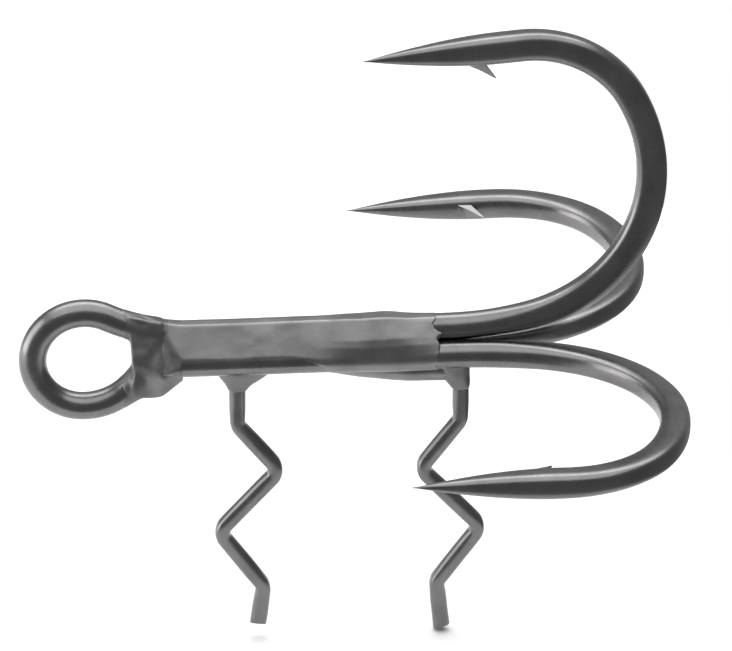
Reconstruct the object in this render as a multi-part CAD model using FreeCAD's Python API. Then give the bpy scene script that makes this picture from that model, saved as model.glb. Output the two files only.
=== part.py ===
import FreeCAD, Part
import math
import os

# Treble hook with two bait spikes. Three hooks of bent wire are brazed side by side into one shank.
# The eyed hook stands up (+Z) and its wire also forms the eye. The two side hooks open to +Y and -Y.
# Two zigzag spikes hang from the shank (-Z) and hold a soft bait.
# Millimetres. The origin is the centre of the eye. +X runs along the shank, from the eye to the bends.

V = FreeCAD.Vector
ORIGIN = V(0, 0, 0)
X_AXIS = V(1, 0, 0)
Y_AXIS = V(0, 1, 0)
Z_AXIS = V(0, 0, 1)

# Wire
WIRE_R = 0.8
SPIKE_R = 0.48
SIDE_Y = 0.94  # the side wires lie a little apart
NEST_Z = 1.32  # height of the eyed wire, which lies in the groove between them

# Eye: a ring of the eyed hook's own wire, whose tail ends under the shank
EYE_R = 2.93
UPPER_LEG_R = 12.0
LOWER_EYE_R = 3.6  # the lower right quarter of the eye is wider
LOWER_LEG_R = 1.6
EYE_TAIL_X = 4.45
SIDE_WIRE_START_X = 5.2  # the side wires start just past the eye wire's cut tail

# Hook bend, as arcs of (radius, turn in degrees) that follow the straight shank
BEND_START_X = 20.6
BEND_ARCS = [(23.0, 12.0), (8.9, 78.0), (9.9, 30.0)]
LAST_ARC_R = 6.5
LAST_ARC_TURN = 64.5
SECTION_STEP_DEG = 7.5
ARM_LENGTH = 9.0
POINT_LENGTH = 7.9
POINT_FULLNESS = 1.6
TIP_SCALE = 0.03

# Side hooks: each one's lift from level, how far its bend stays open, its shift forward in the braze,
# how much shorter its arm is, and how much further back its barb stands
LEFT_HOOK = {"lift_deg": 1.6, "open_deg": 2.5, "forward": -0.1, "shorter": 0.25, "barb_back": 0.55}
RIGHT_HOOK = {"lift_deg": 1.0, "open_deg": 4.0, "forward": 0.3, "shorter": 0.55, "barb_back": 0.5}

# Half-sizes of the wire where it is forged: across is square to the hook's plane
BEND_IN_PLANE = 0.87
BEND_ACROSS = 0.70
ARM_IN_PLANE = 0.86
ARM_ACROSS = 0.78
FORGE_START = 3.0  # distances along the bend, in mm
FORGE_FULL = 9.0
FORGE_FADE = 6.0

# Barb, measured from the point's tip along the arm, and inwards from the arm's axis
BARB_ROOT = (5.5, 6.5)
BARB_TIP = 7.4
BARB_DEPTH_ROOT = 0.62
BARB_DEPTH_TIP = 1.85
BARB_HALF_WIDTH = 0.32
BARB_TIP_HALF = 0.03

# Spikes: corners as (distance from the root's axis, z). The front spike is a mirror image of the rear one.
SPIKE_SEAT_Z = -0.76
SPIKE_BEND_R = 0.8
REAR_SPIKE_X = 8.75
REAR_ZIGZAG = [(0.0, SPIKE_SEAT_Z), (0.0, -4.5), (2.4, -7.45), (-1.13, -11.3), (1.45, -14.9), (1.1, -17.4)]
FRONT_SPIKE_X = 21.6
FRONT_ZIGZAG = [(0.0, SPIKE_SEAT_Z), (0.0, -4.6), (2.33, -7.65), (-1.2, -11.5), (1.35, -15.0), (1.05, -18.0)]

# Braze: stations along the shank, each (x, top radius, side radius, bottom centre z, bottom radius)
SHANK_BRAZE = [
    (5.6, 0.83, 0.84, -0.30, 0.58),
    (8.5, 0.83, 0.84, -0.30, 0.58),
    (11.5, 0.84, 0.84, -0.33, 0.60),
    (13.8, 0.88, 0.85, -0.50, 0.72),
    (15.7, 1.02, 0.87, -0.86, 0.75),
    (17.2, 1.10, 0.88, -1.06, 0.75),
    (18.4, 0.92, 0.87, -1.18, 0.75),
    (20.2, 0.83, 0.84, -1.24, 0.72),
]
# Eye braze: each (x, top centre z, top radius, side centre y, side radius, bottom centre z, bottom radius)
EYE_BRAZE = [
    (2.62, 0.42, 0.40, 0.12, 0.50, -0.36, 0.40),
    (2.80, 0.62, 0.55, 0.15, 0.66, -0.52, 0.50),
    (3.10, 1.05, 0.70, 0.24, 0.74, -0.95, 0.62),
    (3.60, 1.55, 0.84, 0.42, 0.80, -1.60, 0.86),
    (4.30, 1.40, 0.86, 0.64, 0.84, -1.55, 0.92),
    (4.90, 1.33, 0.85, 0.82, 0.86, -1.25, 0.80),
    (5.60, 1.32, 0.83, 0.94, 0.84, -0.45, 0.58),
]
# Spike fillets: each (z, shift of the centre along X, half-length along X, half-width along Y)
REAR_FILLET = [
    (-0.5, 0.35, 1.9, 0.95),
    (-1.34, 0.33, 1.43, 0.8),
    (-1.65, 0.12, 0.93, 0.66),
    (-2.1, 0.0, 0.54, 0.53),
]
FRONT_FILLET = [
    (-0.5, -0.5, 1.0, 0.95),
    (-1.5, -0.45, 0.95, 0.8),
    (-2.0, -0.2, 0.72, 0.66),
    (-2.45, 0.0, 0.54, 0.53),
]


def smooth(t):
    """0 to 1 with flat ends."""
    t = max(0.0, min(1.0, t))
    return t * t * (3.0 - 2.0 * t)


def arc_about(centre, radius, start_deg, end_deg):
    """Arc in the XZ plane. The angle is counted from +X towards +Z."""
    angles = [start_deg, (start_deg + end_deg) / 2.0, end_deg]
    points = [
        V(centre.x + radius * math.cos(math.radians(a)), 0, centre.z + radius * math.sin(math.radians(a)))
        for a in angles
    ]
    return Part.Arc(*points).toShape()


def line(start, end):
    return Part.LineSegment(start, end).toShape()


def round_sweep(edges, radius):
    """Solid round bar of the given radius along tangent edges."""
    path = Part.Wire(edges)
    first = edges[0]
    start = first.valueAt(first.FirstParameter)
    heading = first.tangentAt(first.FirstParameter)
    section = Part.Wire(Part.makeCircle(radius, start, heading))
    return path.makePipeShell([section], True, True)


def ellipse_wire(centre, heading, in_plane, in_plane_half, across_half):
    """Ellipse square to heading, with its long half-size along in_plane."""
    long_half = max(in_plane_half, across_half)
    shape = Part.Ellipse(ORIGIN, long_half, min(in_plane_half, across_half)).toShape()
    across = heading.cross(in_plane)
    turn = FreeCAD.Rotation(in_plane, across, heading, "ZXY")
    shape.Placement = FreeCAD.Placement(centre, turn)
    return Part.Wire(shape)


def forged_halves(distance, total):
    """Half-sizes of the wire at a distance along the bend: round, then flattened, then eased in the arm."""
    on = smooth((distance - FORGE_START) / (FORGE_FULL - FORGE_START))
    off = smooth((distance - (total - FORGE_FADE)) / FORGE_FADE)
    in_plane = WIRE_R + (BEND_IN_PLANE - WIRE_R) * on + (ARM_IN_PLANE - BEND_IN_PLANE) * off
    across = WIRE_R + (BEND_ACROSS - WIRE_R) * on + (ARM_ACROSS - BEND_ACROSS) * off
    return in_plane, across


def bend_stations(last_turn):
    """(place, heading in degrees, distance) along the bend, in the XZ plane from the end of the shank."""
    place, heading, distance = V(BEND_START_X, 0, 0), 0.0, 0.0
    stations = [(place, heading, distance)]
    for radius, turn in BEND_ARCS + [(LAST_ARC_R, last_turn)]:
        steps = int(math.ceil(turn / SECTION_STEP_DEG))
        start = math.radians(heading)
        centre = place + V(-math.sin(start), 0, math.cos(start)) * radius
        for i in range(1, steps + 1):
            a = start + math.radians(turn) * i / steps
            place = centre + V(math.sin(a), 0, -math.cos(a)) * radius
            stations.append((place, math.degrees(a), distance + radius * math.radians(turn) * i / steps))
        heading += turn
        distance += radius * math.radians(turn)
    return stations


def ogive(share):
    """Thickness of the point at a share of its length from the tip: 1 at its root, with full cheeks."""
    return max(TIP_SCALE, 1.0 - (1.0 - min(1.0, share)) ** POINT_FULLNESS)


def section_at(place, heading_deg, in_plane_half, across_half):
    a = math.radians(heading_deg)
    heading = V(math.cos(a), 0, math.sin(a))
    in_plane = V(-math.sin(a), 0, math.cos(a))
    return ellipse_wire(place, heading, in_plane, in_plane_half, across_half)


def barb(tip, heading, inward, further_back):
    """Sheared pyramid that leans back from the point, towards the shank. Its root lies inside the arm."""

    def ring(near, far, depth, half_width):
        corners = [
            tip - heading * (s + further_back) + inward * depth + Y_AXIS * y
            for s, y in [(near, -half_width), (far, -half_width), (far, half_width), (near, half_width)]
        ]
        return Part.makePolygon(corners + corners[:1])

    root = ring(BARB_ROOT[0], BARB_ROOT[1], BARB_DEPTH_ROOT, BARB_HALF_WIDTH)
    end = ring(BARB_TIP - BARB_TIP_HALF, BARB_TIP + BARB_TIP_HALF, BARB_DEPTH_TIP, BARB_TIP_HALF)
    return Part.makeLoft([root, end], True, True)


def bend_and_point(last_turn, arm_length, barb_back):
    """Bend, arm, point and barb of a hook that opens to +Z, from the end of its shank."""
    stations = bend_stations(last_turn)
    total = stations[-1][2]
    wires = [section_at(p, h, *forged_halves(d, total)) for p, h, d in stations]
    bend = Part.makeLoft(wires, True, False)

    start, heading_deg, _ = stations[-1]
    a = math.radians(heading_deg)
    heading = V(math.cos(a), 0, math.sin(a))
    inward = V(-math.sin(a), 0, math.cos(a))
    tip = start + heading * arm_length
    from_tip = [arm_length] + [POINT_LENGTH * s for s in (1.0, 0.85, 0.7, 0.55, 0.4, 0.27, 0.15, 0.06, 0.0)]
    rings = []
    for d in from_tip:
        scale = ogive(d / POINT_LENGTH)
        rings.append(section_at(tip - heading * d, heading_deg, ARM_IN_PLANE * scale, ARM_ACROSS * scale))
    arm = Part.makeLoft(rings, True, False)
    return bend.fuse(arm).fuse(barb(tip, heading, inward, barb_back)).removeSplitter()


def eye_and_shank():
    """The eyed hook's round wire, from its tail under the shank, round the eye and along to the bend."""
    wide = V(0, 0, LOWER_EYE_R - EYE_R)
    drop = wide.z + NEST_Z + LOWER_LEG_R
    lower = V(math.sqrt((LOWER_EYE_R + LOWER_LEG_R) ** 2 - drop ** 2), 0, wide.z - drop)
    upper = V(math.sqrt((EYE_R + UPPER_LEG_R) ** 2 - (NEST_Z + UPPER_LEG_R) ** 2), 0, NEST_Z + UPPER_LEG_R)
    lower_deg = math.degrees(math.atan2(-drop, lower.x))
    upper_deg = math.degrees(math.atan2(upper.z, upper.x))
    edges = [
        line(V(EYE_TAIL_X, 0, -NEST_Z), V(lower.x, 0, -NEST_Z)),
        arc_about(lower, LOWER_LEG_R, 90.0, 180.0 + lower_deg),
        arc_about(wide, LOWER_EYE_R, lower_deg, -90.0),
        arc_about(ORIGIN, EYE_R, 270.0, upper_deg),
        arc_about(upper, UPPER_LEG_R, 180.0 + upper_deg, 270.0),
        line(V(upper.x, 0, NEST_Z), V(BEND_START_X, 0, NEST_Z)),
    ]
    return round_sweep(edges, WIRE_R)


def eyed_hook():
    bend = bend_and_point(LAST_ARC_TURN, ARM_LENGTH, 0.0)
    bend.translate(V(0, 0, NEST_Z))
    return eye_and_shank().fuse(bend).removeSplitter()


def side_hook(side, lift_deg, open_deg, forward, shorter, barb_back):
    """Hook that opens sideways: side is +1 for +Y and -1 for -Y."""
    start_x = SIDE_WIRE_START_X - forward
    shank = Part.makeCylinder(WIRE_R, BEND_START_X - start_x, V(start_x, 0, 0), X_AXIS)
    bend = bend_and_point(LAST_ARC_TURN - open_deg, ARM_LENGTH - shorter, barb_back)
    hook = shank.fuse(bend).removeSplitter()
    hook.rotate(ORIGIN, X_AXIS, (lift_deg - 90.0) * side)
    hook.translate(V(forward, side * SIDE_Y, 0))
    return hook


def rounded_path(points, radius):
    """Straight runs joined by tangent arcs."""
    edges, start = [], points[0]
    for before, corner, after in zip(points, points[1:], points[2:]):
        back = (before - corner).normalize()
        on = (after - corner).normalize()
        half = back.getAngle(on) / 2.0
        cut = radius / math.tan(half)
        middle = corner + (back + on).normalize() * (radius / math.sin(half) - radius)
        edges.append(line(start, corner + back * cut))
        edges.append(Part.Arc(corner + back * cut, middle, corner + on * cut).toShape())
        start = corner + on * cut
    edges.append(line(start, points[-1]))
    return edges


def spike(root_x, side, zigzag):
    """Zigzag spike whose first bend goes to +X when side is +1 and to -X when it is -1."""
    points = [V(root_x + side * dx, 0, z) for dx, z in zigzag]
    return round_sweep(rounded_path(points, SPIKE_BEND_R), SPIKE_R)


def hull_wire(x, circles):
    """Outline round four circles (y, z, radius) in the plane at x, listed counter-clockwise in YZ."""
    normals = []
    for i, (y, z, r) in enumerate(circles):
        y2, z2, r2 = circles[(i + 1) % len(circles)]
        gap = math.hypot(y2 - y, z2 - z)
        u = ((y2 - y) / gap, (z2 - z) / gap)
        along = (r - r2) / gap
        out = math.sqrt(1.0 - along * along)
        normals.append((u[0] * along + u[1] * out, u[1] * along - u[0] * out))
    edges = []
    for i, (y, z, r) in enumerate(circles):
        y2, z2, r2 = circles[(i + 1) % len(circles)]
        before, after = normals[i - 1], normals[i]
        turn = (math.atan2(after[1], after[0]) - math.atan2(before[1], before[0])) % (2.0 * math.pi)
        middle = math.atan2(before[1], before[0]) + turn / 2.0
        first = V(x, y + r * before[0], z + r * before[1])
        last = V(x, y + r * after[0], z + r * after[1])
        between = V(x, y + r * math.cos(middle), z + r * math.sin(middle))
        edges.append(Part.Arc(first, between, last).toShape())
        edges.append(line(last, V(x, y2 + r2 * after[0], z2 + r2 * after[1])))
    return Part.Wire(edges)


def braze_wire(x, top_z, top_r, side_y, side_r, bottom_z, bottom_r):
    left, right = (side_y, 0.0, side_r), (-side_y, 0.0, side_r)
    return hull_wire(x, [left, (0.0, top_z, top_r), right, (0.0, bottom_z, bottom_r)])


def shank_braze(wires):
    rings = [braze_wire(x, NEST_Z, top, SIDE_Y, side, low_z, low) for x, top, side, low_z, low in SHANK_BRAZE]
    return Part.makeLoft(rings, True, True).cut(wires)


def eye_braze(wires):
    rings = [braze_wire(*station) for station in EYE_BRAZE]
    return Part.makeLoft(rings, True, True).cut(wires)


def spike_fillet(root_x, stations):
    """Flared collar of braze round the root of a spike, before the pieces it fills between are cut out."""
    rings = []
    for z, shift, half_x, half_y in stations:
        rings.append(ellipse_wire(V(root_x + shift, 0, z), Z_AXIS, X_AXIS, half_x, half_y))
    return Part.makeLoft(rings, True, False)


def largest_solid(shape):
    """The one deposit that a cut leaves, without crumbs beside it."""
    return max(shape.Solids, key=lambda s: s.Volume)


def build():
    hooks = {
        "eyed_hook": eyed_hook(),
        "left_side_hook": side_hook(1, **LEFT_HOOK),
        "right_side_hook": side_hook(-1, **RIGHT_HOOK),
    }
    spikes = {
        "rear_spike": spike(REAR_SPIKE_X, 1, REAR_ZIGZAG),
        "front_spike": spike(FRONT_SPIKE_X, -1, FRONT_ZIGZAG),
    }
    wires = list(hooks.values())
    shank = largest_solid(shank_braze(wires + list(spikes.values())))
    rear_fillet = spike_fillet(REAR_SPIKE_X, REAR_FILLET)
    front_fillet = spike_fillet(FRONT_SPIKE_X, FRONT_FILLET)
    fillets = {
        "rear_spike_braze": rear_fillet.cut(wires + [spikes["rear_spike"], shank]),
        "front_spike_braze": front_fillet.cut(wires + [spikes["front_spike"], shank]),
    }
    nodes = {**hooks, **spikes, "shank_braze": shank, "eye_braze": largest_solid(eye_braze(wires))}
    nodes.update({name: largest_solid(shape) for name, shape in fillets.items()})
    return nodes


os.makedirs("parts", exist_ok=True)
for name, shape in build().items():
    shape.exportStep("parts/" + name + ".step")
    print(name, "solids", len(shape.Solids), "valid", shape.isValid(), "volume %.3f mm3" % shape.Volume)
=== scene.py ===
import math

import bpy
import numpy as np
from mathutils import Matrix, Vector

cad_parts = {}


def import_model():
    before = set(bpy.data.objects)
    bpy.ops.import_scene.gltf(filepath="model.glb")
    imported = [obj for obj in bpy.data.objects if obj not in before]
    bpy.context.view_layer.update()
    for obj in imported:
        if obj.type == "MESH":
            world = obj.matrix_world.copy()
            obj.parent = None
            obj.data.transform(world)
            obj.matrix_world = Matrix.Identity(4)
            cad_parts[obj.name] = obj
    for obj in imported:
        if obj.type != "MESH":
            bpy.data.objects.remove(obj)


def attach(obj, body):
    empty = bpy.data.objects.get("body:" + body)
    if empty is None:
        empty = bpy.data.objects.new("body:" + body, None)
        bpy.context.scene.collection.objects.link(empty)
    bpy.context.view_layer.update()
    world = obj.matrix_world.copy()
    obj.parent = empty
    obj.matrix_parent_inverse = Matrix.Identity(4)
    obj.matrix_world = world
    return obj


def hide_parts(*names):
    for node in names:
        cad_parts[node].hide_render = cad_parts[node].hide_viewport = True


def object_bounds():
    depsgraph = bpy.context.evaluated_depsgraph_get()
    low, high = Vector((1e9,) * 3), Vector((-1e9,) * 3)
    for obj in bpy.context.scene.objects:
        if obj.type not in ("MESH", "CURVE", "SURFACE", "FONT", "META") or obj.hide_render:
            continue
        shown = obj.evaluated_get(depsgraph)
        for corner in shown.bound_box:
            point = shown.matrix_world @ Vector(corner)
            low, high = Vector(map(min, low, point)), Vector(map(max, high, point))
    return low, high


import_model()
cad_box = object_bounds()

# Treble hook of plated, brazed wire. Lengths are millimetres in the row's frame: the origin is the centre of
# the eye, +X runs along the shank and +Z points to the eyed hook's point. mesh_object turns them into metres.

MM = 0.001
SHARP_ANGLE = math.radians(38.0)

# Wire and eye
WIRE_R = 0.8
SIDE_Y = 0.94  # from the shank's middle plane to each side wire's centre
NEST_Z = 1.32  # from the side wires' centres up to the top wire's, and down to the eye's tail
EYE_R = 2.93
LOWER_EYE_R = 3.6  # the ring is wider where it turns to its lower leg
LOWER_LEG_R = 1.6
UPPER_LEG_R = 12.0
EYE_TAIL_X = 4.45
SIDE_WIRE_START_X = 5.45

# Bends: each arc is (radius, degrees)
BEND_START_X = 20.6
BEND_ARCS = [(23.0, 12.0), (8.9, 78.0), (9.9, 30.0)]
LAST_ARC_R = 6.5
LAST_ARC_TURN = 64.5
FORGE_START = 2.0  # past the start of the bend
FORGE_END = 5.0  # before the end of the bend
FORGE_FADE = 6.0
FORGED_DEEPER = 0.07  # the forged wire is deeper in the plane of the bend and narrower across it
FORGED_NARROWER = 0.10
ARM_SHALLOWER = 0.01  # the arm gives back this much depth, and this much width
ARM_WIDER = 0.08

# Arms, points and barbs
ARM_LENGTH = 9.0
POINT_LENGTH = 7.9
POINT_FULLNESS = 1.85
POINT_TIP = 0.03  # the tip's size, as a share of the wire's
TIP_RUNS = (0.7, 0.3)  # the point's last two runs
# Each ring of a barb: its front and back edges behind the tip, its depth towards the shank, its half-width
BARB_RINGS = [(5.2, 6.38, 0.25, 0.58), (6.55, 7.0, 1.18, 0.27), (7.37, 7.43, 1.85, 0.03)]
HOOK_SIDES = 40
HOOK_STEP = 0.3

# The side hooks differ a little, because they are set in the braze by hand
LEFT_HOOK = {"lift_deg": 1.6, "open_deg": 2.5, "forward": -0.1, "shorter": 0.25, "barb_back": 0.55,
             "lean": 0.0}
RIGHT_HOOK = {"lift_deg": 1.0, "open_deg": 4.0, "forward": 0.3, "shorter": 0.55, "barb_back": 0.5,
              "lean": 0.1}

# Spikes: each zigzag corner is (offset along X, z)
SPIKE_R = 0.48
SPIKE_BEND_R = 0.8
REAR_SPIKE_X = 8.75
REAR_ZIGZAG = [(0.0, -0.76), (0.0, -4.5), (2.4, -7.45), (-1.13, -11.3), (1.45, -14.9), (1.1, -17.4)]
REAR_SNIP = (0.0, -0.45)
FRONT_SPIKE_X = 21.6
FRONT_ZIGZAG = [(0.0, -0.76), (0.0, -4.6), (2.33, -7.65), (-1.2, -11.5), (1.35, -15.0), (1.05, -18.0)]
FRONT_SNIP = (0.2, -0.3)
PINCH_REACH = 0.75  # each bend is pinched over about this far either way
PINCH_DEPTH = 0.10
PINCH_SPREAD = 0.02
SNIP_LENGTH = 0.8
BURR = 0.06  # the snipped end's edge is rounded over this length
SPIKE_SIDES = 28
SPIKE_STEP = 0.12


def smooth(t):
    t = np.clip(t, 0.0, 1.0)
    return t * t * (3.0 - 2.0 * t)


def value_noise(points, size, seed):
    """Smooth noise from -1 to 1 at points (n, 3), with bumps about size across."""
    table = np.random.RandomState(seed).uniform(-1.0, 1.0, 4096)
    q = points / size
    cell = np.floor(q).astype(np.int64)
    t = smooth(q - cell)
    total = np.zeros(len(points))
    for corner in range(8):
        offset = np.array([corner & 1, corner >> 1 & 1, corner >> 2])
        weight = np.prod(np.where(offset == 1, t, 1.0 - t), axis=1)
        c = cell + offset
        total += weight * table[(c[:, 0] * 73 + c[:, 1] * 179 + c[:, 2] * 283) % len(table)]
    return total


# Meshes


def mesh_object(name, points, faces, uv=None):
    mesh = bpy.data.meshes.new(name)
    mesh.from_pydata((np.asarray(points) * MM).tolist(), [], faces)
    mesh.validate()
    if uv is not None:
        layer = mesh.uv_layers.new(name="UVMap")
        loops = np.zeros(len(mesh.loops), dtype=np.int32)
        mesh.loops.foreach_get("vertex_index", loops)
        layer.data.foreach_set("uv", np.asarray(uv)[loops].ravel())
    mesh.shade_smooth()
    obj = bpy.data.objects.new(name, mesh)
    bpy.context.scene.collection.objects.link(obj)
    return obj


def tube_faces(rings, sides):
    """Quads between neighbouring rings, and a fan at each end, whose centre points come after the rings."""
    faces = []
    for i in range(rings - 1):
        for k in range(sides):
            n = (k + 1) % sides
            faces.append((i * sides + k, i * sides + n, (i + 1) * sides + n, (i + 1) * sides + k))
    first, last, base = rings * sides, rings * sides + 1, (rings - 1) * sides
    for k in range(sides):
        n = (k + 1) % sides
        faces.append((first, n, k))
        faces.append((last, base + k, base + n))
    return faces


def length_of(moves):
    return sum(m[0] * abs(math.radians(m[1])) if len(m) == 2 else m[0] for m in moves)


def walk(start, heading_deg, moves, step):
    """Points (n, 2), headings in radians and distances along moves in the XZ plane.
    A move is (length,) for a straight run, or (radius, degrees) for an arc, positive to the left."""
    finest_turn = math.radians(5.0)
    place, a, s = np.array(start, float), math.radians(heading_deg), 0.0
    points, headings, distances = [place], [a], [0.0]
    for move in moves:
        turn = math.radians(move[1]) if len(move) == 2 else 0.0
        length = abs(turn) * move[0] if turn else move[0]
        count = max(1, int(math.ceil(max(length / step, abs(turn) / finest_turn))))
        for i in range(1, count + 1):
            f = i / count
            if turn:
                r = math.copysign(move[0], turn)
                b = a + turn * f
                centre = place + r * np.array([-math.sin(a), math.cos(a)])
                points.append(centre + r * np.array([math.sin(b), -math.cos(b)]))
                headings.append(b)
            else:
                points.append(place + length * f * np.array([math.cos(a), math.sin(a)]))
                headings.append(a)
            distances.append(s + length * f)
        place, a, s = points[-1], a + turn, s + length
    return np.array(points), np.array(headings), np.array(distances)


def sweep(path, in_plane, across, power, sides):
    """Ring points (rings, sides, 3) of a tube with superellipse sections. in_plane is the half-size in XZ."""
    points, headings, _ = path
    phi = np.arange(sides) * 2.0 * math.pi / sides
    c, s = np.cos(phi)[None, :], np.sin(phi)[None, :]
    e = (2.0 / np.asarray(power))[:, None]
    u = np.sign(c) * np.abs(c) ** e * np.asarray(in_plane)[:, None]
    w = np.sign(s) * np.abs(s) ** e * np.asarray(across)[:, None]
    x = points[:, 0:1] - np.sin(headings)[:, None] * u
    z = points[:, 1:2] + np.cos(headings)[:, None] * u
    return np.stack([x, -w, z], axis=2)


def tube(name, rings, distances, ripple, seed):
    """Closed tube object from ring points, with a slight hand-worked ripple. U runs 1 for each 10 mm."""
    count, sides, _ = rings.shape
    flat = rings.reshape(-1, 3)
    centres = rings.mean(axis=1)
    out = flat - np.repeat(centres, sides, axis=0)
    size = np.maximum(np.linalg.norm(out, axis=1, keepdims=True), 1e-6)
    flat = flat + out / size * np.minimum(size * 0.05, ripple * value_noise(flat, 1.3, seed)[:, None])
    points = np.concatenate([flat, centres[:1], centres[-1:]])
    around = np.tile(np.arange(sides) / sides, count)
    along = np.repeat(distances / 10.0, sides)
    ends = [[0.0, 0.0], [distances[-1] / 10.0, 0.0]]
    uv = np.concatenate([np.stack([along, around], axis=1), ends])
    obj = mesh_object(name, points, tube_faces(count, sides), uv)
    obj.data.set_sharp_from_angle(angle=SHARP_ANGLE)
    return obj


# Hooks


def forged(distances, bend_start, bend_length):
    """Half-sizes and squareness along a hook: round wire, forged flat in the bend, eased in the arm."""
    d = distances - bend_start
    in_bend = smooth((d - FORGE_START) / FORGE_FADE)
    in_arm = smooth((d - bend_length + FORGE_END) / FORGE_FADE)
    in_plane = WIRE_R + FORGED_DEEPER * in_bend - ARM_SHALLOWER * in_arm
    across = WIRE_R - FORGED_NARROWER * in_bend + ARM_WIDER * in_arm
    return in_plane, across, 2.0 + in_bend


def add_point(in_plane, across, power, distances):
    """Tapers the last stretch to a needle point."""
    left = (distances[-1] - distances) / POINT_LENGTH
    scale = np.maximum(POINT_TIP, 1.0 - (1.0 - np.clip(left, 0.0, 1.0)) ** POINT_FULLNESS)
    return in_plane * scale, across * scale, 2.0 + (power - 2.0) * scale


def barb(name, tip, heading, barb_back, lean):
    """Flat-faced sliver that leans back from the arm, towards the shank. lean tilts it to +Y."""
    back = np.array([-math.cos(heading), 0.0, -math.sin(heading)])
    inward = np.array([-math.sin(heading), 0.0, math.cos(heading)])
    y = np.array([0.0, 1.0, 0.0])
    rings = []
    for front, rear, depth, half in BARB_RINGS:
        middle = lean * depth
        low, high = middle - half, middle + half
        corners = [(front, low), (rear, low), (rear, high), (front, high)]
        rings.append([tip + back * (s + barb_back) + inward * depth + y * w for s, w in corners])
    rings = np.array(rings)
    points = np.concatenate([rings.reshape(-1, 3), [rings[0].mean(axis=0)], [rings[-1].mean(axis=0)]])
    return mesh_object(name, points, tube_faces(*rings.shape[:2]))


def union(obj, other):
    """obj becomes the union of both closed meshes."""
    modifier = obj.modifiers.new("union", "BOOLEAN")
    modifier.operation = "UNION"
    modifier.solver = "EXACT"
    modifier.object = other
    graph = bpy.context.evaluated_depsgraph_get()
    mesh = bpy.data.meshes.new_from_object(obj.evaluated_get(graph))
    obj.modifiers.clear()
    obj.data = mesh
    bpy.data.objects.remove(other)


def hook(name, start, heading_deg, lead_in, last_turn, arm, barb_back, lean, seed):
    """Hook in the XZ plane: the moves of lead_in, then the bend, the arm, the point and its barb."""
    bends = BEND_ARCS + [(LAST_ARC_R, last_turn)]
    point = [(arm - POINT_LENGTH,), (POINT_LENGTH - sum(TIP_RUNS),)] + [(run,) for run in TIP_RUNS]
    path = walk(start, heading_deg, lead_in + bends + point, HOOK_STEP)
    points, headings, distances = path
    sizes = add_point(*forged(distances, length_of(lead_in), length_of(bends)), distances)
    obj = tube(name, sweep(path, *sizes, HOOK_SIDES), distances, 0.006, seed)
    tip = np.array([points[-1][0], 0.0, points[-1][1]])
    union(obj, barb(name + "_sliver", tip, headings[-1], barb_back, lean))
    obj.data.set_sharp_from_angle(angle=SHARP_ANGLE)
    return obj


def leg_arcs():
    """Arcs that lead from the eye's ring to its legs: the lower one's centre along X and its turn in degrees,
    then the upper one's."""
    lower_reach, lower_drop = LOWER_EYE_R + LOWER_LEG_R, LOWER_EYE_R - EYE_R + NEST_Z + LOWER_LEG_R
    upper_reach, upper_rise = EYE_R + UPPER_LEG_R, NEST_Z + UPPER_LEG_R
    lower_x = math.sqrt(lower_reach ** 2 - lower_drop ** 2)
    upper_x = math.sqrt(upper_reach ** 2 - upper_rise ** 2)
    lower_turn = math.degrees(math.acos(lower_drop / lower_reach))
    upper_turn = math.degrees(math.acos(upper_rise / upper_reach))
    return lower_x, lower_turn, upper_x, upper_turn


def eyed_hook():
    lower_x, lower_turn, upper_x, upper_turn = leg_arcs()
    lead_in = [
        (EYE_TAIL_X - lower_x,),
        (LOWER_LEG_R, lower_turn),
        (LOWER_EYE_R, -lower_turn),
        (EYE_R, -180.0 - upper_turn),
        (UPPER_LEG_R, upper_turn),
        (BEND_START_X - upper_x,),
    ]
    start = (EYE_TAIL_X, -NEST_Z)
    return hook("eyed_hook_wire", start, 180.0, lead_in, LAST_ARC_TURN, ARM_LENGTH, 0.0, 0.0, 3)


def turn_about_x(obj, degrees, shift):
    mesh = obj.data
    co = np.zeros(len(mesh.vertices) * 3)
    mesh.vertices.foreach_get("co", co)
    co = co.reshape(-1, 3)
    a = math.radians(degrees)
    y = co[:, 1] * math.cos(a) - co[:, 2] * math.sin(a)
    z = co[:, 1] * math.sin(a) + co[:, 2] * math.cos(a)
    co = np.stack([co[:, 0], y, z], axis=1) + np.array(shift) * MM
    mesh.vertices.foreach_set("co", co.ravel())
    mesh.update()


def side_hook(name, side, seed, lift_deg, open_deg, forward, shorter, barb_back, lean):
    """Hook that lies out to +Y or -Y, which side says. It is built upright and then turned down."""
    start_x = SIDE_WIRE_START_X - forward
    obj = hook(name, (start_x, 0.0), 0.0, [(BEND_START_X - start_x,)], LAST_ARC_TURN - open_deg,
               ARM_LENGTH - shorter, barb_back, lean, seed)
    turn_about_x(obj, (lift_deg - 90.0) * side, (forward, side * SIDE_Y, 0.0))
    return obj


# Spikes


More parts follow.
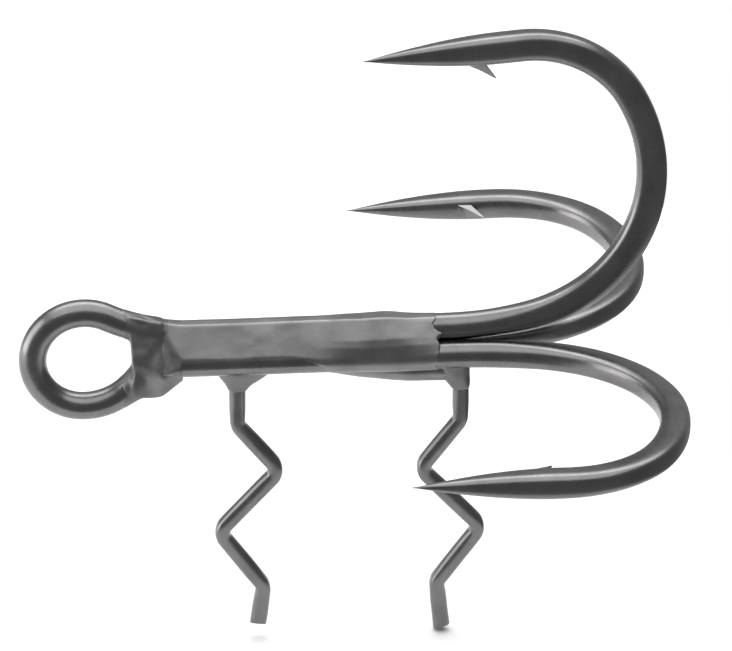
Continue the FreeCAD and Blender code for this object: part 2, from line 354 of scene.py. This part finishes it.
def spike(name, root_x, side, zigzag, snip, seed):
    """Zigzag spike, pinched a little at its bends. snip tilts the cut end: (slope along X, slope along Y)."""
    corners = [np.array([root_x + side * dx, z]) for dx, z in zigzag]
    moves, trim, bends = [], 0.0, []
    for before, corner, after in zip(corners, corners[1:], corners[2:]):
        u, v = corner - before, after - corner
        turn = math.degrees(math.atan2(u[0] * v[1] - u[1] * v[0], float(u @ v)))
        cut = SPIKE_BEND_R * math.tan(math.radians(abs(turn)) / 2.0)
        moves += [(float(np.linalg.norm(u)) - trim - cut,), (SPIKE_BEND_R, turn)]
        trim = cut
        bends.append(length_of(moves) - SPIKE_BEND_R * math.radians(abs(turn)) / 2.0)
    moves += [(float(np.linalg.norm(corners[-1] - corners[-2])) - trim - BURR,), (BURR,)]
    path = walk(corners[0], -90.0, moves, SPIKE_STEP)
    distances = path[2]
    pinch = sum(np.exp(-(((distances - b) / PINCH_REACH) ** 2)) for b in bends)
    in_plane = SPIKE_R * (1.0 - PINCH_DEPTH * pinch)
    across = SPIKE_R * (1.0 + PINCH_SPREAD * pinch)
    in_plane[-1] *= 0.9
    across[-1] *= 0.9
    rings = sweep(path, in_plane, across, 2.25 + 0.9 * pinch, SPIKE_SIDES)
    end = smooth((distances - distances[-1] + SNIP_LENGTH) / SNIP_LENGTH)[:, None]
    off = rings - rings.mean(axis=1, keepdims=True)
    rings[:, :, 2] += end * (snip[0] * off[:, :, 0] + snip[1] * off[:, :, 1])
    return tube(name, rings, distances, 0.008, seed)


# Braze, as closed surfaces of distance fields, which are negative inside the metal


def surface_net(field, low, step):
    """Points and quads of the surface where a sampled field is zero, one point in each cell it crosses."""
    size = np.array(field.shape) - 1
    inside = field < 0.0

    def part(array, offset):
        return array[tuple(slice(o, o + n) for o, n in zip(offset, size))]

    total = np.zeros(tuple(size) + (3,), dtype=np.float32)
    hits = np.zeros(tuple(size), dtype=np.float32)
    for axis in range(3):
        for p in (0, 1):
            for q in (0, 1):
                start = [0, 0, 0]
                start[(axis + 1) % 3], start[(axis + 2) % 3] = p, q
                end = list(start)
                end[axis] = 1
                a, b = part(field, start), part(field, end)
                cross = (a < 0.0) != (b < 0.0)
                t = np.where(cross, a / np.where(cross, a - b, 1.0), 0.0)
                hits += cross
                for k in range(3):
                    total[..., k] += cross * (start[k] + (t if k == axis else 0.0))
    active = hits > 0
    index = np.full(tuple(size), -1, dtype=np.int64)
    index[active] = np.arange(int(active.sum()))
    cells = np.argwhere(active)
    points = (cells + total[active] / hits[active][:, None]) * step + np.array(low)
    faces = []
    for axis in range(3):
        u, v = (axis + 1) % 3, (axis + 2) % 3
        span = [slice(1, n) for n in size]
        span[axis] = slice(0, size[axis])
        ahead = list(span)
        ahead[axis] = slice(1, size[axis] + 1)
        cross = inside[tuple(span)] != inside[tuple(ahead)]
        at = np.argwhere(cross) + np.array([0 if k == axis else 1 for k in range(3)])
        back_u, back_v = np.zeros(3, dtype=int), np.zeros(3, dtype=int)
        back_u[u], back_v[v] = 1, 1
        ring = [at, at - back_u, at - back_u - back_v, at - back_v]
        quads = np.stack([index[tuple(r.T)] for r in ring], axis=1)
        flip = ~inside[tuple(at.T)]
        quads[flip] = quads[flip][:, ::-1]
        faces.append(quads)
    return points, np.concatenate(faces)


def join_corners(values):
    """Fills a corner of each grid square whose filled corners meet only diagonally, so no edge is pinched."""
    just_inside = -0.004
    for _ in range(4):
        for a, b in ((0, 1), (0, 2), (1, 2)):
            corner = {}
            for i in (0, 1):
                for j in (0, 1):
                    cut = [slice(None)] * 3
                    cut[a], cut[b] = slice(i, i - 1 or None), slice(j, j - 1 or None)
                    corner[i, j] = values[tuple(cut)]
            for i, j in ((0, 0), (0, 1)):
                filled = (corner[i, j] < 0.0) & (corner[1 - i, 1 - j] < 0.0)
                crossed = filled & (corner[1 - i, j] >= 0.0) & (corner[i, 1 - j] >= 0.0)
                corner[1 - i, j][crossed] = just_inside


def braze(name, low, high, step, field):
    """Object of field's surface, sampled on a grid between two corners. The grid's own faces stay empty."""
    axes = [np.arange(a, b + step, step) for a, b in zip(low, high)]
    grid = np.stack(np.meshgrid(*axes, indexing="ij"), axis=-1)
    values = field(grid.reshape(-1, 3)).reshape(grid.shape[:3])
    values[[0, -1], :, :] = 1.0
    values[:, [0, -1], :] = 1.0
    values[:, :, [0, -1]] = 1.0
    join_corners(values)
    points, faces = surface_net(values, low, step)
    return mesh_object(name, points, faces.tolist())


def soft_min(a, b, k):
    """The smaller distance, with a fillet about k wide where both are near."""
    h = np.clip(0.5 + 0.5 * (b - a) / k, 0.0, 1.0)
    return b + (a - b) * h - k * h * (1.0 - h)


def soft_max(a, b, k):
    return -soft_min(-a, -b, k)


def lumps(p, big, small, seed):
    return big * value_noise(p, 1.5, seed) + small * value_noise(p, 0.55, seed + 1)


def arc_bar(p, centre, radius, start_deg, end_deg, r):
    """Distance to a round bar bent along an arc in the XZ plane, counted from +X towards +Z."""
    dx, dz = p[:, 0] - centre[0], p[:, 2] - centre[1]
    middle, half = math.radians(start_deg + end_deg) / 2.0, math.radians(end_deg - start_deg) / 2.0
    off = (np.arctan2(dz, dx) - middle + math.pi) % (2.0 * math.pi) - math.pi
    a = middle + np.clip(off, -half, half)
    x, z = dx - radius * np.cos(a), dz - radius * np.sin(a)
    return np.sqrt(x * x + z * z + p[:, 1] ** 2) - r


def eye_legs(p, r):
    """Distance to the eyed wire's two legs, between the ring and the shank."""
    lower_x, lower_turn, upper_x, upper_turn = leg_arcs()
    parts = [
        arc_bar(p, (upper_x, NEST_Z + UPPER_LEG_R), UPPER_LEG_R, 270.0 - upper_turn, 270.0, r),
        arc_bar(p, (lower_x, -NEST_Z - LOWER_LEG_R), LOWER_LEG_R, 90.0, 90.0 + lower_turn, r),
        arc_bar(p, (0.0, LOWER_EYE_R - EYE_R), LOWER_EYE_R, 270.0, 270.0 + lower_turn, r),
        arc_bar(p, (0.0, 0.0), EYE_R, 90.0 - upper_turn, 110.0, r),
    ]
    return np.minimum.reduce(parts)


def stations(x, table):
    """Station values at x, eased between the table's rows."""
    table = np.array(table)
    fine = np.arange(table[0, 0] - 1.0, table[-1, 0] + 1.0, 0.1)
    kernel = np.hanning(13)
    kernel /= kernel.sum()
    columns = []
    for k in range(1, table.shape[1]):
        values = np.interp(fine, table[:, 0], table[:, k])
        padded = np.pad(values, len(kernel) // 2, mode="edge")
        columns.append(np.interp(x, fine, np.convolve(padded, kernel, mode="valid")))
    return columns


def hull(p, circles):
    """Distance in YZ to the tight outline round circles (y, z, r), listed counter-clockwise."""
    y, z = p[:, 1], p[:, 2]
    inside = np.ones(len(p), dtype=bool)
    outer, inner = [], []
    for (ay, az, ra), (by, bz, rb) in zip(circles, circles[1:] + circles[:1]):
        ey, ez = by - ay, bz - az
        length = np.hypot(ey, ez)
        ey, ez = ey / length, ez / length
        along = (y - ay) * ey + (z - az) * ez
        left = ey * (z - az) - ez * (y - ay)
        off = np.abs(left)
        k = np.clip((ra - rb) / length, -0.99, 0.99)
        a = np.sqrt(1.0 - k * k)
        q = a * along - k * off
        side = a * off + k * along - ra
        outer.append(np.where(q < 0.0, np.hypot(along, off) - ra,
                              np.where(q > a * length, np.hypot(along - length, off) - rb, side)))
        inner.append(-a * left + k * along - ra)
        inside &= left > 0.0
    return np.where(inside, np.maximum.reduce(inner), np.minimum.reduce(outer))


# Sections of the braze. Each row: x; the top ridge's y, z and radius on the near side, then on the far side;
# the shoulders' y, z and radius; how full the sides are; the side radius; the bottom's y, z and radius.
# The shank braze has the same bottom all along.
SHANK_BOTTOM = (0.02, -0.30, 0.56)
SHANK_BRAZE = [
    (4.3, 0.335, 2.24, 0.15, 0.02, 1.59, 0.80, 0.962, 1.000, 0.30, 0.000, 0.840),
    (4.9, 0.357, 2.13, 0.15, 0.05, 1.53, 0.75, 0.933, 1.000, 0.30, 0.000, 0.840),
    (5.4, 0.365, 2.01, 0.16, 0.08, 1.48, 0.70, 0.902, 1.000, 0.30, 0.000, 0.840),
    (5.9, 0.363, 1.99, 0.15, 0.08, 1.47, 0.69, 0.882, 1.000, 0.30, 0.000, 0.830),
    (11.0, 0.363, 1.99, 0.15, 0.08, 1.47, 0.69, 0.880, 1.000, 0.30, 0.000, 0.820),
    (12.4, 0.363, 2.01, 0.15, 0.10, 1.50, 0.66, 0.885, 1.000, 0.30, 0.000, 0.815),
    (13.6, 0.370, 2.04, 0.14, 0.12, 1.58, 0.60, 0.885, 1.000, 0.33, 0.015, 0.820),
    (15.7, 0.520, 2.11, 0.12, 0.24, 1.78, 0.42, 0.970, 0.970, 0.45, 0.050, 0.840),
    (16.5, 0.617, 2.19, 0.12, 0.26, 1.85, 0.39, 1.011, 1.037, 0.45, 0.050, 0.860),
    (17.2, 0.610, 2.19, 0.12, 0.27, 1.91, 0.36, 1.020, 1.060, 0.45, 0.050, 0.870),
    (17.9, 0.550, 2.13, 0.12, 0.26, 1.84, 0.38, 0.990, 1.070, 0.43, 0.050, 0.870),
    (18.6, 0.450, 1.95, 0.20, 0.12, 1.52, 0.63, 0.940, 1.040, 0.40, 0.050, 0.870),
    (20.4, 0.100, 1.36, 0.75, 0.03, 1.36, 0.75, 0.920, 1.000, 0.30, 0.000, 0.840),
]
EYE_BRAZE = [
    (2.5, 0.020, 2.05, 0.74, 0.01, 2.05, 0.74, 0.450, 1.000, 0.30, 0.000, 0.700, 0.02, -1.80, 0.72),
    (3.0, 0.020, 1.92, 0.80, 0.01, 1.92, 0.80, 0.540, 1.000, 0.30, 0.000, 0.800, 0.58, -2.00, 0.25),
    (3.5, 0.020, 1.76, 0.82, 0.01, 1.76, 0.82, 0.720, 1.000, 0.30, 0.000, 0.830, 0.70, -2.02, 0.22),
    (4.3, 0.335, 2.24, 0.15, 0.02, 1.59, 0.80, 0.962, 1.000, 0.30, 0.000, 0.840, 0.85, -1.96, 0.22),
    (4.9, 0.357, 2.13, 0.15, 0.05, 1.53, 0.75, 0.933, 1.000, 0.30, 0.000, 0.840, 0.85, -1.53, 0.20),
    (5.4, 0.365, 2.01, 0.16, 0.08, 1.48, 0.70, 0.902, 1.000, 0.30, 0.000, 0.840, 0.75, -1.05, 0.25),
    (5.9, 0.363, 1.99, 0.15, 0.08, 1.47, 0.69, 0.882, 1.000, 0.30, 0.000, 0.840, 0.30, -0.70, 0.48),
]
# Where the sides' centres lie, which close in towards the eye: (x, y)
SIDE_CENTRES = np.array([(2.5, 0.0), (3.0, 0.04), (3.5, 0.30), (4.4, SIDE_Y)])
# Round bulge under the shank braze: (x, centre's z, radius)
BULGE = [
    (11.0, -0.20, 0.50),
    (13.8, -0.48, 0.72),
    (15.7, -0.86, 0.75),
    (17.2, -1.06, 0.75),
    (18.7, -1.22, 0.76),
    (20.4, -1.26, 0.74),
]
FLAT = (0.58, 0.8146)  # runs in YZ up the shank braze's flat side, from the side wire to the top wire
BRAZE_END_X = 20.15
# Flat cheeks beside the eye's throat: their outward normal, and the x and y of a point on them
CHEEK_NORMAL = (-0.366, 0.876, 0.316)
CHEEK_X, CHEEK_Y = 3.2, 0.85
# Web between the eye's legs: (x, height of its level top), its half-width and the size of its bevels
WEB_TOP = np.array([(2.5, 2.86), (3.0, 2.73), (3.5, 2.58), (4.3, 2.39), (5.0, 2.28)])
WEB_HALF = 0.84
WEB_BEVEL = 0.82


def braze_hull(p, table):
    """Distance to the deposit whose sections table gives, before its ends and its roughness."""
    (near_y, near_z, near_r, far_y, far_z, far_r, shoulder_y, shoulder_z, shoulder_r, fullness, side_r,
     low_y, low_z, low_r) = stations(p[:, 0], table)
    side_y = np.interp(p[:, 0], *SIDE_CENTRES.T)
    mid_y = 0.6 * shoulder_y + 0.4 * side_y + 0.95 * fullness
    mid_z = 0.6 * shoulder_z + 0.3 * fullness
    mid_r = 0.6 * shoulder_r + 0.4 * side_r
    zero = np.zeros(len(p))
    far_side = [(side_y, zero, side_r), (mid_y, mid_z, mid_r), (shoulder_y, shoulder_z, shoulder_r)]
    top = [(far_y, far_z, far_r), (-near_y, near_z, near_r)]
    near_side = [(-y, z, r) for y, z, r in reversed(far_side)]
    bottom = [(-low_y, low_z, low_r), (low_y, low_z, low_r)]
    return hull(p, far_side + top + near_side + bottom)


def cheeks(p):
    """Distance past the flat cheeks beside the eye's throat, which are a little uneven."""
    x, y, z = p.T
    face = CHEEK_NORMAL[0] * (x - CHEEK_X) + CHEEK_NORMAL[1] * (np.abs(y) - CHEEK_Y) + CHEEK_NORMAL[2] * z
    return face + 0.035 * value_noise(p, 0.9, 29) + 0.02 * value_noise(p, 0.45, 30)


def shank_field(p):
    """Braze along the shank. Near the eye it lies a little lower, so the side wires' edges show in it."""
    x, y, z = p.T
    upper = braze_hull(p, [row + SHANK_BOTTOM for row in SHANK_BRAZE])
    up_flat = (SIDE_Y - np.abs(y)) * FLAT[0] + z * FLAT[1]
    bare_below = -0.06 + 0.10 * value_noise(p, 1.1, 17) - 1.5 * smooth((x - 11.6) / 5.0)
    upper = upper + 0.06 * smooth((bare_below + 0.15 - up_flat) / 0.35)
    low_z, low_r = stations(x, BULGE)
    rough = 1.0 - 0.9 * smooth((14.6 - x) / 1.0) * smooth((0.25 - z) / 0.3)
    body = soft_min(upper, np.hypot(y, z - low_z) - low_r, 0.16) - rough * lumps(p, 0.014, 0.008, 11)
    body = soft_max(body - 0.012 + 0.03 * smooth((5.2 - x) / 0.9), cheeks(p), 0.05)
    ragged = 0.28 * value_noise(p * np.array([0.1, 1.0, 1.0]), 0.45, 21) + 0.12 * value_noise(p, 0.2, 23)
    end = BRAZE_END_X + ragged * smooth((z + 1.1) / 0.5) + 0.55 * smooth((-0.75 - z) / 0.35)
    return soft_max(body, np.maximum(x - end, 4.4 - x), 0.09)


def throat_web(p):
    """Web between the eye's legs: upright sides, a level top, and a bevel on each side of it."""
    x, y, z = p.T
    top = np.interp(x, *WEB_TOP.T)
    rise = z - top + WEB_BEVEL
    bevels = np.maximum(0.914 * np.abs(y) + 0.407 * rise, 0.432 * y + 0.902 * rise) - WEB_BEVEL
    web = soft_max(soft_max(bevels, z - top, 0.06), np.abs(y) - WEB_HALF, 0.08)
    return soft_max(web, np.maximum(-2.0 - z, x - 4.45), 0.1)


def eye_field(p):
    """Braze at the eye's throat: the sections' body, the web between the legs and a film up the legs."""
    x, y, z = p.T
    body = soft_max(braze_hull(p, EYE_BRAZE), cheeks(p), 0.07 + 0.15 * smooth((0.1 - z) / 0.5))
    body = soft_min(body, throat_web(p), 0.15)
    body = soft_max(body, 2.76 - 0.07 * z - x, 0.08 + 0.1 * smooth((-0.4 - z) / 0.6))
    body = soft_max(body, x - 5.62 - 0.15 * value_noise(p, 0.7, 31), 0.1)
    calm = smooth((x - 4.2) / 0.5) * smooth((z - 0.3) / 0.4)
    body = body - calm * lumps(p, 0.014, 0.008, 11) - (1.0 - calm) * lumps(p, 0.05, 0.04, 41)
    film = WIRE_R + 0.02 - 0.22 * smooth((2.5 + 0.2 * value_noise(p, 0.5, 33) - x) / 0.9)
    film = film - 0.09 * smooth((x - 4.25) / 0.5)
    legs = eye_legs(p, film) - lumps(p, 0.02, 0.01, 47)
    blend = 0.06 + 0.2 * smooth((4.0 - x) / 0.9) * smooth((1.9 - z) / 0.5)
    joined = soft_min(body, legs, blend + 0.3 * smooth((3.7 - x) / 0.6) * smooth((-0.3 - z) / 0.6))
    return np.maximum(joined, np.maximum(1.8 - x, x - 5.9))


# Spike fillets: each (z, shift of the centre along X, half-length along X, half-width along Y)
REAR_FILLET = [(-2.25, 0.0, 0.50, 0.50), (-2.1, 0.0, 0.54, 0.53), (-1.65, 0.12, 0.93, 0.66),
               (-1.34, 0.33, 1.43, 0.8), (-0.5, 0.35, 1.9, 0.95)]
FRONT_FILLET = [(-2.6, 0.0, 0.50, 0.50), (-2.45, 0.0, 0.54, 0.53), (-2.0, -0.2, 0.72, 0.66),
                (-1.5, -0.45, 0.95, 0.8), (-0.5, -0.5, 1.0, 0.95)]
FILLET_POWER = 2.4


def fillet_field(spike_x, table, seed):
    """Field of the flared collar of braze round the root of a spike."""
    def field(p):
        x, y, z = p.T
        shift, half_x, half_y = stations(z, table)
        u, v = np.abs((x - spike_x - shift) / half_x), np.abs(y / half_y)
        reach = (u ** FILLET_POWER + v ** FILLET_POWER) ** (1.0 / FILLET_POWER)
        body = (reach - 1.0) * np.minimum(half_x, half_y) * 0.8
        body = soft_max(body, table[0][0] - z, 0.2) - lumps(p, 0.02, 0.02, seed)
        return np.maximum(body, z + 0.5)

    return field


# Materials

ROUGHNESS_SPREAD = 0.07
PATCH_MM = 1.6
SMUDGE_MM = 0.5


def metal(name, colour, spread, roughness, grain_mm, bump_mm, streak_mm=0.0):
    """Plated metal: colour and roughness vary a little, and fine bumps break up the reflections.
    streak_mm is the depth of the drawing lines along a wire."""
    m = bpy.data.materials.new(name)
    m.use_nodes = True
    tree = m.node_tree
    shader = tree.nodes["Principled BSDF"]
    shader.inputs["Metallic"].default_value = 1.0
    shader.inputs["Specular IOR Level"].default_value = 0.5
    coords = tree.nodes.new("ShaderNodeTexCoord")

    def noise(scale, detail, vector):
        node = tree.nodes.new("ShaderNodeTexNoise")
        node.inputs["Scale"].default_value = scale
        node.inputs["Detail"].default_value = detail
        tree.links.new(vector, node.inputs["Vector"])
        return node.outputs["Fac"]

    def bump(height, strength, depth_mm):
        node = tree.nodes.new("ShaderNodeBump")
        node.inputs["Strength"].default_value = strength
        node.inputs["Distance"].default_value = depth_mm * MM
        tree.links.new(height, node.inputs["Height"])
        return node

    ramp = tree.nodes.new("ShaderNodeValToRGB")
    for stop, place, factor in zip(ramp.color_ramp.elements, (0.3, 0.7), (1.0 - spread, 1.0 + spread)):
        stop.position = place
        stop.color = [c * factor for c in colour] + [1.0]
    tree.links.new(noise(1.0 / (PATCH_MM * MM), 4.0, coords.outputs["Object"]), ramp.inputs["Fac"])
    tree.links.new(ramp.outputs["Color"], shader.inputs["Base Color"])
    rough = tree.nodes.new("ShaderNodeMapRange")
    rough.inputs["To Min"].default_value = roughness - ROUGHNESS_SPREAD
    rough.inputs["To Max"].default_value = roughness + ROUGHNESS_SPREAD
    tree.links.new(noise(1.0 / (SMUDGE_MM * MM), 3.0, coords.outputs["Object"]), rough.inputs["Value"])
    tree.links.new(rough.outputs["Result"], shader.inputs["Roughness"])
    last = bump(noise(1.0 / (grain_mm * MM), 3.0, coords.outputs["Object"]), 0.6, bump_mm)
    if streak_mm:
        stretch = tree.nodes.new("ShaderNodeMapping")
        stretch.inputs["Scale"].default_value = (0.35, 14.0, 1.0)
        tree.links.new(coords.outputs["UV"], stretch.inputs["Vector"])
        streaks = bump(noise(4.0, 4.0, stretch.outputs["Vector"]), 0.5, streak_mm)
        tree.links.new(last.outputs["Normal"], streaks.inputs["Normal"])
        last = streaks
    tree.links.new(last.outputs["Normal"], shader.inputs["Normal"])
    return m


WIRE = metal("wire_plate", (0.190, 0.185, 0.187), 0.10, 0.29, 0.16, 0.002, 0.006)
SPIKE = metal("spike_plate", (0.185, 0.181, 0.182), 0.12, 0.31, 0.14, 0.003, 0.006)
BRAZE = metal("braze_plate", (0.225, 0.220, 0.221), 0.14, 0.40, 0.22, 0.007)
# Rougher braze for the eye's throat and the spikes' roots. Its colour is darker than the shank braze's as
# painted shade for these recessed places under and between the wires.
DULL_PAINTED_SHADE = metal("dull_plate_painted_shade", (0.180, 0.176, 0.177), 0.16, 0.42, 0.22, 0.008)


def finish_piece(obj, material, node):
    obj.data.materials.clear()
    obj.data.materials.append(material)
    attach(obj, "root")
    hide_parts(node)


finish_piece(eyed_hook(), WIRE, "eyed_hook")
finish_piece(side_hook("left_side_hook_wire", 1, 5, **LEFT_HOOK), WIRE, "left_side_hook")
finish_piece(side_hook("right_side_hook_wire", -1, 7, **RIGHT_HOOK), WIRE, "right_side_hook")

rear_spike = spike("rear_spike_wire", REAR_SPIKE_X, 1, REAR_ZIGZAG, REAR_SNIP, 9)
front_spike = spike("front_spike_wire", FRONT_SPIKE_X, -1, FRONT_ZIGZAG, FRONT_SNIP, 13)
finish_piece(rear_spike, SPIKE, "rear_spike")
finish_piece(front_spike, SPIKE, "front_spike")

# Each deposit: the node it replaces, material, name, the grid's low and high corners and step, and its field
DEPOSITS = [
    ("shank_braze", BRAZE, "shank_braze_metal", (4.0, -2.2, -2.5), (20.9, 2.2, 2.9), 0.07, shank_field),
    ("eye_braze", DULL_PAINTED_SHADE, "eye_braze_metal", (1.9, -2.2, -3.2), (7.2, 2.2, 3.4), 0.065, eye_field),
    ("rear_spike_braze", DULL_PAINTED_SHADE, "rear_spike_fillet", (6.0, -1.4, -2.7), (11.6, 1.4, -0.3), 0.06,
     fillet_field(REAR_SPIKE_X, REAR_FILLET, 51)),
    ("front_spike_braze", DULL_PAINTED_SHADE, "front_spike_fillet", (19.4, -1.4, -3.0), (23.2, 1.4, -0.3), 0.06,
     fillet_field(FRONT_SPIKE_X, FRONT_FILLET, 61)),
]
for node, material, *grid in DEPOSITS:
    finish_piece(braze(*grid), material, node)

# Floor, light and camera, in metres

FLOOR_Z = cad_box[0][2] - 0.0002
FLOOR_X = (-0.10, 0.040)
FLOOR_Y = (-0.024, 0.11)

# Soft lobes of the room's light: axis, cosine where it starts, cosine where it is full, strength
ROOM_BASE = 0.22
ROOM_LOBES = [
    ((-0.2, 0.95, 0.25), 0.2, 0.8, 0.22),
    ((0.0, 0.0, -1.0), 0.59, 0.80, 0.8),
    ((-0.9, 0.0, -0.43), 0.78, 0.95, 1.5),
]
# Area lights: name, place, target, size, power in watts
AREA_LIGHTS = [
    ("overhead", (0.015, -0.005, 0.32), (0.015, -0.005, 0.0), (0.66, 0.66), 2.15),
    ("strip", (0.015, 0.15, 0.30), (0.015, 0.0, 0.0), (0.50, 0.09), 0.38),
    ("left", (-0.40, 0.0, 0.08), (0.015, 0.0, 0.0), (0.34, 0.36), 1.05),
]
CAMERA_TARGET = Vector((0.01615, 0.0, 0.001555))
CAMERA_AZIMUTH = math.radians(-4.46)
CAMERA_ELEVATION = math.radians(25.58)
CAMERA_DISTANCE = 0.4571


def floor():
    (x0, x1), (y0, y1) = FLOOR_X, FLOOR_Y
    corners = [(x0, y0, FLOOR_Z), (x1, y0, FLOOR_Z), (x1, y1, FLOOR_Z), (x0, y1, FLOOR_Z)]
    mesh = bpy.data.meshes.new("floor")
    mesh.from_pydata(corners, [], [(0, 1, 2, 3)])
    obj = bpy.data.objects.new("floor", mesh)
    bpy.context.scene.collection.objects.link(obj)
    m = bpy.data.materials.new("floor_paint")
    m.use_nodes = True
    shader = m.node_tree.nodes["Principled BSDF"]
    shader.inputs["Base Color"].default_value = (0.93, 0.93, 0.93, 1.0)
    shader.inputs["Roughness"].default_value = 0.9
    shader.inputs["Specular IOR Level"].default_value = 0.1
    obj.data.materials.append(m)


def area_light(name, place, target, size, power):
    data = bpy.data.lights.new(name, "AREA")
    data.shape = "RECTANGLE"
    data.size, data.size_y = size
    data.energy = power
    obj = bpy.data.objects.new(name, data)
    obj.location = place
    obj.rotation_euler = (Vector(target) - Vector(place)).to_track_quat("-Z", "Y").to_euler()
    bpy.context.scene.collection.objects.link(obj)


def world():
    """Room light from a dim base and the soft lobes. The camera itself sees plain white."""
    w = bpy.data.worlds.new("room")
    w.use_nodes = True
    tree = w.node_tree
    coords = tree.nodes.new("ShaderNodeTexCoord")
    total = None
    for axis, start, full, strength in ROOM_LOBES:
        dot = tree.nodes.new("ShaderNodeVectorMath")
        dot.operation = "DOT_PRODUCT"
        dot.inputs[1].default_value = Vector(axis).normalized()
        tree.links.new(coords.outputs["Generated"], dot.inputs[0])
        ease = tree.nodes.new("ShaderNodeMapRange")
        ease.interpolation_type = "SMOOTHSTEP"
        for key, value in (("From Min", start), ("From Max", full), ("To Min", 0.0), ("To Max", strength)):
            ease.inputs[key].default_value = value
        tree.links.new(dot.outputs["Value"], ease.inputs["Value"])
        add = tree.nodes.new("ShaderNodeMath")
        add.inputs[0].default_value = ROOM_BASE
        if total is not None:
            tree.links.new(total, add.inputs[0])
        tree.links.new(ease.outputs["Result"], add.inputs[1])
        total = add.outputs["Value"]
    room = tree.nodes["Background"]
    room.inputs["Color"].default_value = (1.0, 1.0, 1.0, 1.0)
    tree.links.new(total, room.inputs["Strength"])
    seen = tree.nodes.new("ShaderNodeBackground")
    seen.inputs["Color"].default_value = (1.0, 1.0, 1.0, 1.0)
    ray = tree.nodes.new("ShaderNodeLightPath")
    mix = tree.nodes.new("ShaderNodeMixShader")
    tree.links.new(ray.outputs["Is Camera Ray"], mix.inputs["Fac"])
    tree.links.new(room.outputs["Background"], mix.inputs[1])
    tree.links.new(seen.outputs["Background"], mix.inputs[2])
    tree.links.new(mix.outputs["Shader"], tree.nodes["World Output"].inputs["Surface"])
    bpy.context.scene.world = w


def camera():
    back = Vector((math.sin(CAMERA_AZIMUTH) * math.cos(CAMERA_ELEVATION),
                   -math.cos(CAMERA_AZIMUTH) * math.cos(CAMERA_ELEVATION), math.sin(CAMERA_ELEVATION)))
    data = bpy.data.cameras.new("camera")
    data.sensor_width = 36.0
    data.sensor_fit = "HORIZONTAL"
    data.lens = 393.4
    data.clip_start = 0.01
    obj = bpy.data.objects.new("camera", data)
    obj.location = CAMERA_TARGET + back * CAMERA_DISTANCE
    obj.rotation_euler = back.to_track_quat("Z", "Y").to_euler()
    bpy.context.scene.collection.objects.link(obj)
    bpy.context.scene.camera = obj


floor()
world()
for light in AREA_LIGHTS:
    area_light(*light)
camera()

view = bpy.context.scene.view_settings
view.view_transform = "Standard"
view.look = "None"
